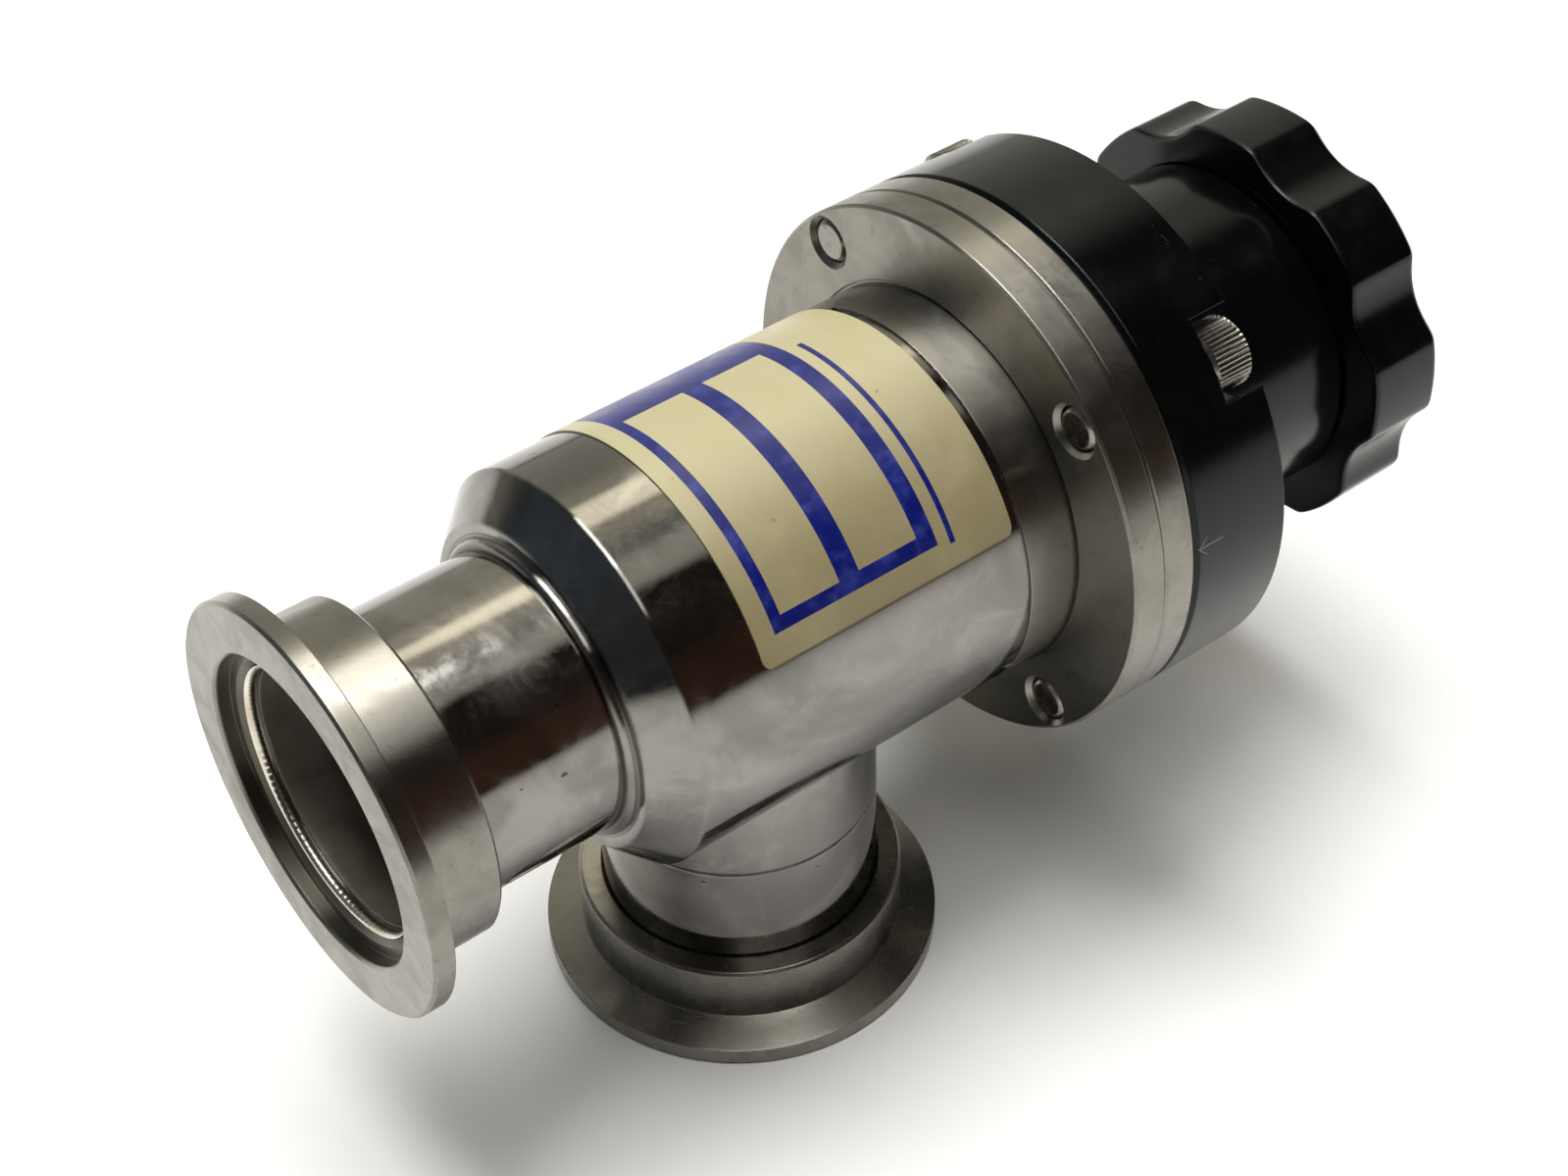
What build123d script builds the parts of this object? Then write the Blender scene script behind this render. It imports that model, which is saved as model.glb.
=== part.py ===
from build123d import *
import os
from math import cos, radians, sin, sqrt, tan

# A hand-operated, bellows-sealed right-angle vacuum valve in stainless steel.
# Row frame: the centre of the outlet flange's face is the origin and +Z points up.
# The outlet port points down, the inlet port points to -X and the knob is at the +X end.
# Along the main axis, x = 0 lies over the outlet port. All lengths are in millimetres.

# Ports: clamp flanges of nominal size 40 on 1.5 inch tube
port_reach = 62.7
tube_outer_r = 19.05
tube_wall = 1.65
hub_wall = 3.45
rim_height = 5.0
rim_thickness = 2.8
rim_taper_deg = 15.0
flange_length = 12.7
socket_step = 1.55
socket_depth = 2.2
weld_lip_depth = 2.0
edge_chamfer = 0.4
joint_groove = 0.35

# Body: the chamber stands clear of the poppet, which covers its seat
body_wall = 2.0
poppet_room = 2.2
poppet_overhang = 0.4
seat_land_width = 5.2
seat_land_height = 0.8
seat_edge = 0.3
seat_setback = 3.8
nose_floor = 8.1
nose_cone = 5.1
nose_ledge = 1.8
weld_bead_reach = 1.1
weld_bead_height = 1.25
branch_stub = 6.8
branch_to_neck = 8.25
neck_fillet = 1.6

# Bonnet joint
collar_length = 7.7
collar_groove = 0.5
body_flange_thickness = 5.2
plate_thickness = 5.0
seal_inset = 0.4
seal_width = 2.6
seal_groove_depth = 1.9
seal_rounding = 0.5
screw_land = 0.525
screw_edge = 1.025
screw_count = 4
screw_turn_deg = 47.5

# Cap screws, quarter-inch size
screw_r = 3.175
screw_clearance = 0.2
screw_end_gap = 0.3
screw_end_chamfer = 0.68
screw_lead_in = 0.7
head_overhang = 1.585
head_chamfer = 0.4
head_socket_depth = 3.0
thread_slack = 0.04

# Housing
housing_flange_length = 16.3
housing_chamfer = 0.85
housing_rear_chamfer = 0.4
housing_neck_r = 24.0
pocket_room = 2.14
pocket_spare = 0.2
neck_land = 1.2
knob_gap = 0.3

# Lift mechanism
stroke = 18.0
screw_lead = 4.0
lead_screw_r = 5.9
lead_screw_chamfer = 0.8
nut_thread_slack = 0.08
nut_wall = 4.95
nut_length = 14.0
nut_start_gap = 0.7
nut_socket_depth = 5.0
nut_chamfer = 0.5
nut_countersink = 0.6
running_clearance = 0.05
web_gap = 0.6
web_thickness = 2.0
web_clearance = 0.6
washer_thickness = 1.0
washer_bore_clearance = 0.3
washer_rim_clearance = 0.1
collar_step = 4.1
collar_thickness = 2.0
collar_room = 0.8
thrust_play = 0.05
ring_thickness = 1.2
ring_width = 3.05
ring_bite = 1.0
ring_spring_gap = 0.15
ring_opening = 5.0
guide_pin_r = 2.0
guide_pin_reach = 2.4
guide_pin_seat = 1.5
guide_pin_chamfer = 0.4
guide_slot_slack = 0.1
guide_slot_spare = 0.3
journal_step = 0.9
journal_flat_depth = 1.1
journal_chamfer = 0.4
journal_end_gap = 0.3

# Stem, poppet and bellows
stem_wall = 1.4
stem_bore_room = 0.7
stem_bore_spare = 1.5
drill_point_share = 0.58
spigot_step = 2.0
spigot_chamfer = 0.5
bush_wall = 2.0
bush_inset = 0.5
plate_hub_wall = 4.5
plate_hub_length = 3.0
poppet_thickness = 6.0
poppet_gap = 0.3
poppet_face_wall = 2.0
poppet_hub_length = 3.0
poppet_front_chamfer = 0.3
poppet_back_chamfer = 0.8
poppet_hub_step = 0.4
poppet_seal_inset = 2.5
poppet_seal_width = 2.8
poppet_seal_depth = 2.3
poppet_seal_bevel = 0.7
seal_undercut = 0.3
seal_touch_gap = 0.05
bellows_root_step = 1.3
bellows_depth = 5.2
bellows_wall = 0.35
bellows_crest = 1.3
bellows_waves = 10
bellows_end = 0.6
cuff_overlap = 2.6

# Knob
knob_r = 30.0
knob_thickness = 12.7
knob_lobes = 8
knob_lobe_turn_deg = 39.3
flute_depth = 2.2
flute_r = 11.4
knob_rear_chamfer = 1.1
knob_front_chamfer = 0.3
knob_rim_wall = 6.8
knob_recess_depth = 6.0
knob_hub_wall = 1.5
knob_bore_slack = 0.03
knob_screw_r = 2.5
knob_screw_depth = 9.0
knob_screw_end_gap = 1.2
knob_screw_inset = 0.4
knob_head_overhang = 1.75
knob_head_height = 3.0
knob_head_chamfer = 0.3
knob_key_flat = 4.0
knob_key_depth = 1.8
knob_washer_overhang = 2.25
knob_washer_clearance = 0.2
knob_washer_thickness = 1.2
counterbore_room = 1.5

# Label
label_nose_gap = 11.0
label_neck_gap = 1.5
label_start_deg = 36.0
label_end_deg = 156.2
label_thickness = 0.2

# How far a cutting shape runs past the face it cuts
overrun = 1.0

# Radii worked out from the sizes above
tube_inner_r = tube_outer_r - tube_wall
flange_hub_r = tube_outer_r + hub_wall
rim_r = flange_hub_r + rim_height
socket_r = tube_outer_r + socket_step
seat_land_r = tube_inner_r + seat_land_width
poppet_r = seat_land_r + poppet_overhang
body_inner_r = poppet_r + poppet_room
body_r = body_inner_r + body_wall
seal_inner_r = body_r + seal_inset
seal_outer_r = seal_inner_r + seal_width
screw_circle_r = seal_outer_r + screw_land + screw_r
bonnet_r = screw_circle_r + screw_r + screw_edge
head_r = screw_r + head_overhang
pocket_r = head_r + pocket_room
stem_bore_r = lead_screw_r + stem_bore_room
stem_r = stem_bore_r + stem_wall
stem_spigot_r = stem_r - spigot_step
bush_outer_r = stem_r + bush_wall
plate_hub_r = bush_outer_r + plate_hub_wall
nut_r = stem_r + nut_wall
nut_bore_r = nut_r + running_clearance
nut_thread_r = lead_screw_r + nut_thread_slack
web_bore_r = lead_screw_r + web_clearance
collar_r = lead_screw_r + collar_step
bearing_pocket_r = collar_r + collar_room
journal_r = lead_screw_r - journal_step
journal_flat = journal_r - journal_flat_depth
poppet_seal_r = tube_inner_r + poppet_seal_inset
poppet_groove_inner = poppet_seal_r - poppet_seal_width / 2
poppet_groove_outer = poppet_seal_r + poppet_seal_width / 2
bellows_inner_r = plate_hub_r - bellows_root_step
bellows_outer_r = bellows_inner_r + bellows_depth
flute_floor_r = knob_r - flute_depth
knob_recess_r = flute_floor_r - knob_rim_wall
knob_head_r = knob_screw_r + knob_head_overhang
knob_washer_r = knob_head_r + knob_washer_overhang
knob_counterbore_r = knob_washer_r + counterbore_room
knob_hub_r = knob_counterbore_r + knob_hub_wall

# Stations along the main axis worked out from the sizes above
taper_length = rim_height * tan(radians(rim_taper_deg))
flange_back = port_reach - flange_length
tube_end = port_reach - socket_depth - weld_lip_depth
seat_x = -(tube_inner_r + seat_setback)
seat_land_x = seat_x + seat_land_height
nose_front_x = seat_x - nose_floor
nose_edge_x = nose_front_x + nose_cone
tube_stop_x = nose_front_x + nose_floor / 2
neck_reach = body_r + branch_stub
body_flange_neck_x = tube_outer_r + branch_to_neck
body_flange_x = body_flange_neck_x + collar_length
plate_x = body_flange_x + body_flange_thickness
housing_x = plate_x + plate_thickness
housing_flange_end = housing_x + housing_flange_length
head_height = 2 * screw_r
pocket_floor_x = housing_flange_end - head_height - pocket_spare
screw_tip_x = body_flange_x + screw_end_gap
nut_x = housing_x + nut_start_gap
nut_end = nut_x + nut_length
guide_pin_x = nut_x + nut_length / 2
web_x = nut_end + stroke + web_gap
pocket_floor = web_x + web_thickness
front_washer_x = pocket_floor
collar_x = front_washer_x + washer_thickness + thrust_play
rear_washer_x = collar_x + collar_thickness + thrust_play
ring_x = rear_washer_x + washer_thickness
neck_end = ring_x + ring_thickness + neck_land
knob_front_x = neck_end + knob_gap
knob_back_x = knob_front_x + knob_thickness
lead_screw_tip = nut_x + 0.6 * screw_lead
stem_bore_floor = lead_screw_tip - stroke - stem_bore_spare
poppet_x = seat_land_x + poppet_gap
poppet_back = poppet_x + poppet_thickness
stem_x = poppet_back + poppet_hub_length
stem_tip = poppet_x + poppet_face_wall
hub_front = plate_x - plate_hub_length
bush_x = hub_front + bush_inset
knob_head_x = knob_back_x - knob_screw_inset - knob_head_height
knob_seat_x = knob_head_x - knob_washer_thickness
label_start_x = nose_edge_x + label_nose_gap
label_end_x = body_flange_neck_x - label_neck_gap
slot_half = guide_pin_r + guide_slot_slack

main_axis = Pos(0, 0, port_reach)
inlet_axis = main_axis * Rot(0, 180, 0)
outlet_axis = main_axis * Rot(0, 90, 0)


def turned(points):
    """A solid turned about X from the (x, radius) corners of its section."""
    return revolve(make_face(Polyline(*points, close=True)), Axis.X)


def ring(x_start, x_end, r_inner, r_outer):
    """A plain ring or disc about X between two stations."""
    return turned([(x_start, r_inner), (x_end, r_inner), (x_end, r_outer), (x_start, r_outer)])


def rod(x_start, x_end, radius, y=0.0, z=0.0):
    """A round bar along X between two stations."""
    bar = Cylinder(radius, x_end - x_start, align=(Align.CENTER, Align.CENTER, Align.MIN))
    return Pos(x_start, y, z) * Rot(0, 90, 0) * bar


def hexagon_bar(x_start, x_end, flat, y=0.0, z=0.0):
    """A hexagonal bar along X, as the key socket of a screw."""
    outline = RegularPolygon(flat / sqrt(3), 6)
    bar = extrude(outline, x_end - x_start)
    return Pos(x_start, y, z) * Rot(0, 90, 0) * bar


def screw_places():
    """Centres of the cap screws on their circle, as (y, z) about the main axis."""
    places = []
    for index in range(screw_count):
        angle = radians(screw_turn_deg + index * 360 / screw_count)
        places.append((screw_circle_r * cos(angle), screw_circle_r * sin(angle)))
    return places


def port_flange():
    """Clamp flange with its centring socket, tapered back and weld lip."""
    taper_end = port_reach - rim_thickness - taper_length
    return turned([
        (port_reach, socket_r + edge_chamfer),
        (port_reach, rim_r - edge_chamfer),
        (port_reach - edge_chamfer, rim_r),
        (port_reach - rim_thickness, rim_r),
        (taper_end, flange_hub_r),
        (flange_back + edge_chamfer, flange_hub_r),
        (flange_back, flange_hub_r - edge_chamfer),
        (flange_back, tube_outer_r + joint_groove),
        (flange_back + joint_groove, tube_outer_r),
        (tube_end, tube_outer_r),
        (tube_end, tube_inner_r),
        (tube_end + weld_lip_depth / 2, tube_inner_r + tube_wall / 4),
        (port_reach - socket_depth, tube_outer_r),
        (port_reach - socket_depth, socket_r),
        (port_reach - edge_chamfer, socket_r),
    ])


def inlet_tube():
    """Straight tube from the inlet flange into the nose of the body."""
    return ring(-tube_stop_x, tube_end, tube_inner_r, tube_outer_r)


def outlet_tube():
    """Straight tube from the branch of the body to the outlet flange."""
    return ring(neck_reach, tube_end, tube_inner_r, tube_outer_r)


def valve_body():
    """Body barrel with its coned nose, seat and the drawn branch of the outlet."""
    bead_x = nose_front_x - weld_bead_reach
    bead_outer_r = tube_outer_r + weld_bead_height
    bead_swell = [(0.0, 0.08), (0.2, 0.6), (0.6, 0.95), (1.0, 1.0)]
    bead = [
        (bead_x + weld_bead_reach * along, tube_outer_r + weld_bead_height * height)
        for along, height in bead_swell
    ]
    barrel = turned([
        (bead_x, 0),
        *bead,
        (nose_front_x + joint_groove, bead_outer_r),
        (nose_front_x + joint_groove, bead_outer_r + joint_groove),
        (nose_front_x, bead_outer_r + joint_groove * 1.5),
        (nose_front_x, bead_outer_r + nose_ledge),
        (nose_edge_x, body_r),
        (body_flange_neck_x, body_r),
        (body_flange_neck_x, 0),
    ])
    branch = Rot(0, 90, 0) * rod(0, neck_reach, tube_outer_r)
    solid = barrel + branch
    saddle = [
        edge for edge in solid.edges()
        if edge.geom_type not in (GeomType.LINE, GeomType.CIRCLE)
    ]
    solid = fillet(saddle, neck_fillet)
    cavity = turned([
        (seat_x, 0),
        (seat_x, body_inner_r),
        (body_flange_neck_x, body_inner_r),
        (body_flange_neck_x, 0),
    ])
    solid -= cavity
    solid -= Rot(0, 90, 0) * rod(0, neck_reach, tube_inner_r)
    solid -= rod(bead_x - overrun, seat_x, tube_inner_r)
    solid -= rod(bead_x - overrun, tube_stop_x, tube_outer_r)
    land = turned([
        (seat_x - seat_land_height, tube_inner_r),
        (seat_land_x - seat_edge, tube_inner_r),
        (seat_land_x, tube_inner_r + seat_edge),
        (seat_land_x, seat_land_r),
        (seat_x, seat_land_r + seat_land_height),
        (seat_x - seat_land_height, seat_land_r + seat_land_height),
    ])
    return solid + land


def body_flange():
    """Flange that closes the barrel, with its neck and the tapped screw holes."""
    disc = turned([
        (body_flange_neck_x, body_inner_r),
        (plate_x, body_inner_r),
        (plate_x, bonnet_r - edge_chamfer),
        (plate_x - edge_chamfer, bonnet_r),
        (body_flange_x + edge_chamfer, bonnet_r),
        (body_flange_x, bonnet_r - edge_chamfer),
        (body_flange_x, body_r + collar_groove),
        (body_flange_x + collar_groove, body_r + collar_groove),
        (body_flange_x + collar_groove, body_r),
        (body_flange_neck_x, body_r),
    ])
    mouth = screw_lead_in + overrun
    for y, z in screw_places():
        disc -= rod(body_flange_x - overrun, plate_x + overrun, screw_r, y, z)
        disc -= Pos(body_flange_x + screw_lead_in, y, z) * Rot(0, -90, 0) * Cone(
            screw_r, screw_r + mouth, mouth,
            align=(Align.CENTER, Align.CENTER, Align.MIN),
        )
    return disc


def bonnet_seal():
    """Ring seal squeezed in its groove between the body flange and the plate."""
    rounding = seal_rounding
    front = plate_x
    back = plate_x + seal_groove_depth
    return turned([
        (front, seal_inner_r + rounding),
        (front, seal_outer_r - rounding),
        (front + rounding, seal_outer_r),
        (back - rounding, seal_outer_r),
        (back, seal_outer_r - rounding),
        (back, seal_inner_r + rounding),
        (back - rounding, seal_inner_r),
        (front + rounding, seal_inner_r),
    ])


def bonnet_plate():
    """Plate that closes the vacuum side, with the bellows hub and the stem bush bore."""
    disc = turned([
        (hub_front, bush_outer_r),
        (housing_x, bush_outer_r),
        (housing_x, bonnet_r - edge_chamfer),
        (housing_x - edge_chamfer, bonnet_r),
        (plate_x + edge_chamfer, bonnet_r),
        (plate_x, bonnet_r - edge_chamfer),
        (plate_x, seal_outer_r),
        (plate_x + seal_groove_depth, seal_outer_r),
        (plate_x + seal_groove_depth, seal_inner_r),
        (plate_x, seal_inner_r),
        (plate_x, plate_hub_r),
        (hub_front, plate_hub_r),
    ])
    for y, z in screw_places():
        disc -= rod(plate_x - overrun, housing_x + overrun, screw_r + screw_clearance, y, z)
    return disc


def stem_bush():
    """Bearing bush for the stem, pressed in the plate."""
    return ring(bush_x, housing_x, stem_r + running_clearance, bush_outer_r)


def bonnet_housing():
    """Flanged housing with the screw pockets, the nut bore and the bearing pocket."""
    body = turned([
        (housing_x, nut_bore_r),
        (web_x, nut_bore_r),
        (web_x, web_bore_r),
        (pocket_floor, web_bore_r),
        (pocket_floor, bearing_pocket_r),
        (ring_x, bearing_pocket_r),
        (ring_x, bearing_pocket_r + ring_bite),
        (ring_x + ring_thickness, bearing_pocket_r + ring_bite),
        (ring_x + ring_thickness, bearing_pocket_r),
        (neck_end, bearing_pocket_r),
        (neck_end, housing_neck_r - edge_chamfer),
        (neck_end - edge_chamfer, housing_neck_r),
        (housing_flange_end, housing_neck_r),
        (housing_flange_end, bonnet_r - housing_rear_chamfer),
        (housing_flange_end - housing_rear_chamfer, bonnet_r),
        (housing_x + housing_chamfer, bonnet_r),
        (housing_x, bonnet_r - housing_chamfer),
    ])
    for y, z in screw_places():
        body -= rod(housing_x - overrun, pocket_floor_x + overrun, screw_r + screw_clearance, y, z)
        body -= rod(pocket_floor_x, housing_flange_end + overrun, pocket_r, y, z)
    slot_depth = nut_bore_r + guide_pin_reach + guide_slot_spare
    slot_end = guide_pin_x + stroke + slot_half + guide_slot_spare
    slot = Box(slot_end - housing_x, 2 * slot_half, slot_depth, align=(Align.MIN, Align.CENTER, Align.MIN))
    body -= Pos(housing_x, 0, 0) * slot
    return body


def cap_screws():
    """The cap screws that clamp the housing and plate to the body flange, as separate solids."""
    shank_r = screw_r - thread_slack
    head_end = pocket_floor_x + head_height
    key_flat = head_r
    screws = []
    for y, z in screw_places():
        screw = turned([
            (screw_tip_x, 0),
            (screw_tip_x, shank_r - screw_end_chamfer),
            (screw_tip_x + screw_end_chamfer, shank_r),
            (pocket_floor_x, shank_r),
            (pocket_floor_x, head_r - head_chamfer),
            (pocket_floor_x + head_chamfer, head_r),
            (head_end - head_chamfer, head_r),
            (head_end, head_r - head_chamfer),
            (head_end, 0),
        ])
        screw -= hexagon_bar(head_end - head_socket_depth, head_end + overrun, key_flat)
        screws.append(main_axis * Pos(0, y, z) * screw)
    return Compound(children=screws)


def bellows():
    """Thin folded tube between the poppet hub and the hub of the plate."""
    first = stem_x - cuff_overlap
    last = hub_front + cuff_overlap
    cuff_r = plate_hub_r
    wave_start = stem_x + bellows_end
    wave_end = hub_front - bellows_end
    pitch = (wave_end - wave_start) / bellows_waves
    run = pitch / 2 - bellows_crest + bellows_wall
    flat = (pitch - bellows_crest - 2 * run) / 2
    outer = [(first, cuff_r + bellows_wall), (wave_start, cuff_r + bellows_wall)]
    inner = [(first, cuff_r), (wave_start, cuff_r)]
    for index in range(bellows_waves):
        x = wave_start + index * pitch
        rise = x + flat
        top = rise + run
        fall = top + bellows_crest
        foot = fall + run
        outer += [
            (rise, bellows_inner_r + bellows_wall),
            (top, bellows_outer_r),
            (fall, bellows_outer_r),
            (foot, bellows_inner_r + bellows_wall),
        ]
        inner += [
            (rise + bellows_wall, bellows_inner_r),
            (top + bellows_wall, bellows_outer_r - bellows_wall),
            (fall - bellows_wall, bellows_outer_r - bellows_wall),
            (foot - bellows_wall, bellows_inner_r),
        ]
    outer += [(wave_end, cuff_r + bellows_wall), (last, cuff_r + bellows_wall)]
    inner += [(wave_end, cuff_r), (last, cuff_r)]
    return turned(outer + inner[::-1])


def poppet():
    """Closing disc with its seal groove and the hub for the stem and the bellows."""
    groove_floor = poppet_x + poppet_seal_depth
    return turned([
        (poppet_x, 0),
        (poppet_x, poppet_groove_inner),
        (groove_floor, poppet_groove_inner - seal_undercut),
        (groove_floor, poppet_groove_outer + seal_undercut),
        (poppet_x, poppet_groove_outer),
        (poppet_x, poppet_r - poppet_front_chamfer),
        (poppet_x + poppet_front_chamfer, poppet_r),
        (poppet_back - poppet_back_chamfer, poppet_r),
        (poppet_back, poppet_r - poppet_back_chamfer),
        (poppet_back, plate_hub_r + bellows_wall + poppet_hub_step),
        (stem_x - cuff_overlap, plate_hub_r),
        (stem_x, plate_hub_r),
        (stem_x, stem_spigot_r),
        (stem_tip, stem_spigot_r),
        (stem_tip, 0),
    ])


def poppet_seal():
    """Ring seal of the poppet, squeezed flat against the seat."""
    face = seat_land_x + seal_touch_gap
    floor = poppet_x + poppet_seal_depth
    return turned([
        (face, poppet_groove_inner + poppet_seal_bevel),
        (face, poppet_groove_outer - poppet_seal_bevel),
        (poppet_x, poppet_groove_outer),
        (floor, poppet_groove_outer),
        (floor, poppet_groove_inner),
        (poppet_x, poppet_groove_inner),
    ])


def stem():
    """Stem that carries the poppet, bored at the back for the lead screw."""
    top = nut_x + nut_socket_depth
    return turned([
        (stem_tip, 0),
        (stem_tip, stem_spigot_r - spigot_chamfer),
        (stem_tip + spigot_chamfer, stem_spigot_r),
        (stem_x, stem_spigot_r),
        (stem_x, stem_r),
        (top, stem_r),
        (top, stem_bore_r),
        (stem_bore_floor, stem_bore_r),
        (stem_bore_floor - stem_bore_r * drill_point_share, 0),
    ])


def drive_nut():
    """Sliding nut that turns the knob's rotation into lift."""
    shoulder = nut_x + nut_socket_depth
    nut = turned([
        (nut_x, stem_r),
        (nut_x, nut_r - nut_chamfer),
        (nut_x + nut_chamfer, nut_r),
        (nut_end - nut_chamfer, nut_r),
        (nut_end, nut_r - nut_chamfer),
        (nut_end, nut_thread_r + nut_countersink),
        (nut_end - nut_countersink, nut_thread_r),
        (shoulder, nut_thread_r),
        (shoulder, stem_r),
    ])
    hole = Cylinder(guide_pin_r, nut_r + overrun, align=(Align.CENTER, Align.CENTER, Align.MIN))
    drilled = ring(nut_x, nut_end, nut_thread_r + guide_pin_seat, nut_r + overrun)
    return nut - (Pos(guide_pin_x, 0, 0) * hole & drilled)


def guide_pin():
    """Pin that keeps the nut from turning, running in the slot of the housing."""
    floor = sqrt((nut_thread_r + guide_pin_seat) ** 2 + guide_pin_r ** 2)
    length = nut_bore_r + guide_pin_reach - floor
    pin = Cylinder(guide_pin_r, length, align=(Align.CENTER, Align.CENTER, Align.MIN))
    pin = chamfer(pin.edges().sort_by(Axis.Z)[-1], guide_pin_chamfer)
    return Pos(guide_pin_x, 0, floor) * pin


def drive_spindle():
    """Lead screw with its thrust collar and the flatted end that carries the knob."""
    end = knob_seat_x - journal_end_gap
    spindle = turned([
        (lead_screw_tip, 0),
        (lead_screw_tip, lead_screw_r - lead_screw_chamfer),
        (lead_screw_tip + lead_screw_chamfer, lead_screw_r),
        (collar_x, lead_screw_r),
        (collar_x, collar_r),
        (collar_x + collar_thickness, collar_r),
        (collar_x + collar_thickness, lead_screw_r),
        (knob_front_x, lead_screw_r),
        (knob_front_x, journal_r),
        (end - journal_chamfer, journal_r),
        (end, journal_r - journal_chamfer),
        (end, 0),
    ])
    flat_length = end - knob_front_x + overrun
    flat_cut = Box(flat_length, 2 * journal_r, journal_r, align=(Align.MIN, Align.CENTER, Align.MIN))
    spindle -= Pos(knob_front_x, 0, journal_flat) * flat_cut
    spindle -= rod(end - knob_screw_depth, end + overrun, knob_screw_r)
    return spindle


def thrust_washer(x_start):
    """Bearing washer beside the collar of the spindle."""
    bore_r = lead_screw_r + washer_bore_clearance
    return ring(x_start, x_start + washer_thickness, bore_r, bearing_pocket_r - washer_rim_clearance)


def retaining_ring():
    """Snap ring in its groove behind the rear washer, open at the bottom for its tool."""
    outer = bearing_pocket_r + ring_bite - ring_spring_gap
    snap = ring(ring_x, ring_x + ring_thickness, outer - ring_width, outer)
    gap = Box(ring_thickness + 2 * overrun, ring_opening, outer, align=(Align.MIN, Align.CENTER, Align.MAX))
    return snap - Pos(ring_x - overrun, 0, 0) * gap


def knob_outline():
    """Round outline of the knob with its shallow flutes, drawn flat."""
    outline = Circle(knob_r)
    flute_centre_r = flute_floor_r + flute_r
    for index in range(knob_lobes):
        angle = radians(knob_lobe_turn_deg + (index + 0.5) * 360 / knob_lobes)
        outline -= Pos(flute_centre_r * cos(angle), flute_centre_r * sin(angle)) * Circle(flute_r)
    return outline


def knob():
    """Fluted knob with bevelled outline, its hub, flatted bore and the counterbore of its screw."""
    blank = extrude(knob_outline(), knob_thickness)
    back_edges = blank.faces().sort_by(Axis.Z)[-1].outer_wire().edges()
    blank = chamfer(back_edges, knob_rear_chamfer)
    front_edges = blank.faces().sort_by(Axis.Z)[0].outer_wire().edges()
    blank = chamfer(front_edges, knob_front_chamfer)
    lay_along_axis = Pos(knob_front_x, 0, 0) * Rot(90, 90, 0)
    disc = lay_along_axis * blank
    disc -= ring(knob_front_x - overrun, knob_front_x + knob_recess_depth, knob_hub_r, knob_recess_r)
    disc -= rod(knob_seat_x, knob_back_x + overrun, knob_counterbore_r)
    bore = rod(knob_front_x - overrun, knob_back_x, journal_r + knob_bore_slack)
    bore -= Pos(knob_front_x - overrun, 0, journal_flat + knob_bore_slack) * Box(
        knob_thickness + overrun, 3 * journal_r, journal_r, align=(Align.MIN, Align.CENTER, Align.MIN)
    )
    return disc - bore


def knob_washer():
    """Washer under the head of the knob screw."""
    return ring(knob_seat_x, knob_head_x, knob_screw_r + knob_washer_clearance, knob_washer_r)


def knob_screw():
    """Cap screw that holds the knob on the spindle."""
    head_end = knob_head_x + knob_head_height
    tip = knob_seat_x - journal_end_gap - knob_screw_depth + knob_screw_end_gap
    shank_r = knob_screw_r - thread_slack
    screw = turned([
        (tip, 0),
        (tip, shank_r - knob_head_chamfer),
        (tip + knob_head_chamfer, shank_r),
        (knob_head_x, shank_r),
        (knob_head_x, knob_head_r),
        (head_end - knob_head_chamfer, knob_head_r),
        (head_end, knob_head_r - knob_head_chamfer),
        (head_end, 0),
    ])
    return screw - hexagon_bar(head_end - knob_key_depth, head_end + overrun, knob_key_flat)


def label():
    """Thin paper-like label wrapped on the barrel."""
    shell = ring(label_start_x, label_end_x, body_r, body_r + label_thickness)
    span = label_end_deg - label_start_deg
    middle = (label_start_deg + label_end_deg) / 2
    reach = body_r + label_thickness + overrun
    wedge = make_face(Polyline(
        (0, 0),
        (2 * reach, -2 * reach * tan(radians(span / 2))),
        (2 * reach, 2 * reach * tan(radians(span / 2))),
        close=True,
    ))
    block = extrude(wedge, label_end_x - label_start_x)
    block = Pos(label_start_x, 0, 0) * Rot(0, 90, 0) * block
    block = Rot(middle + 90, 0, 0) * block
    return shell & block


parts = {
    "inlet_flange": inlet_axis * port_flange(),
    "inlet_tube": inlet_axis * inlet_tube(),
    "outlet_flange": outlet_axis * port_flange(),
    "outlet_tube": outlet_axis * outlet_tube(),
    "valve_body": main_axis * valve_body(),
    "label": main_axis * label(),
    "body_flange": main_axis * body_flange(),
    "bonnet_seal": main_axis * bonnet_seal(),
    "bonnet_plate": main_axis * bonnet_plate(),
    "stem_bush": main_axis * stem_bush(),
    "bonnet_housing": main_axis * bonnet_housing(),
    "cap_screws": cap_screws(),
    "bellows": main_axis * bellows(),
    "poppet": main_axis * poppet(),
    "poppet_seal": main_axis * poppet_seal(),
    "stem": main_axis * stem(),
    "drive_nut": main_axis * drive_nut(),
    "guide_pin": main_axis * guide_pin(),
    "drive_spindle": main_axis * drive_spindle(),
    "front_thrust_washer": main_axis * thrust_washer(front_washer_x),
    "rear_thrust_washer": main_axis * thrust_washer(rear_washer_x),
    "retaining_ring": main_axis * retaining_ring(),
    "knob": main_axis * knob(),
    "knob_washer": main_axis * knob_washer(),
    "knob_screw": main_axis * knob_screw(),
}

os.makedirs("parts", exist_ok=True)
for name, shape in parts.items():
    export_step(shape, f"parts/{name}.step")
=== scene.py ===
import math

import bmesh
import bpy
from mathutils import Matrix, Vector


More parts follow.
